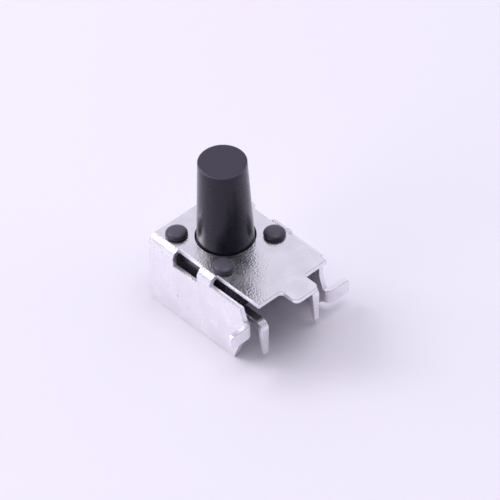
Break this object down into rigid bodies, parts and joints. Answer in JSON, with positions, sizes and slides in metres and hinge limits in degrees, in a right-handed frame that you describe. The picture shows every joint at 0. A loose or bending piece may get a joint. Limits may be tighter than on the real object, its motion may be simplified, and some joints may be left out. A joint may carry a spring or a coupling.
{
  "type": "tactile push button switch",
  "caption": "Right-angle momentary push button switch: tapered stem through a folded steel bracket with board tab and solder feet, moulded base, snap dome and bent terminals.",
  "frame": {"origin": "where the stem axis meets the flat rear face of the moulded base", "axes": "+Z along the stem, out of the button; -Y towards the circuit board; +X across the bracket, with the switch lying on the rear edges of its side plates"},
  "size_m": [0.0104, 0.0112, 0.0119],
  "materials": {
    "bracket_steel": "satin tin-plated sheet",
    "base_plastic": "moulded black, satin",
    "stem_plastic": "moulded black, satin",
    "dome_metal": "thin spring sheet",
    "terminal_tin": "tin-plated strip"
  },
  "bodies": {
    "housing": {"bracket": "bracket_steel", "base": "base_plastic", "snap_dome": "dome_metal", "terminal_left": "terminal_tin", "terminal_right": "terminal_tin"},
    "button": {"stem": "stem_plastic"}
  },
  "joints": [
    {"name": "stem_press", "type": "slide", "parent": "housing", "child": "button", "axis": [0, 0, -1], "range_m": [0, 0.00025], "stiffness_N_per_m": 6400, "deforming": ["snap_dome"]}
  ]
}
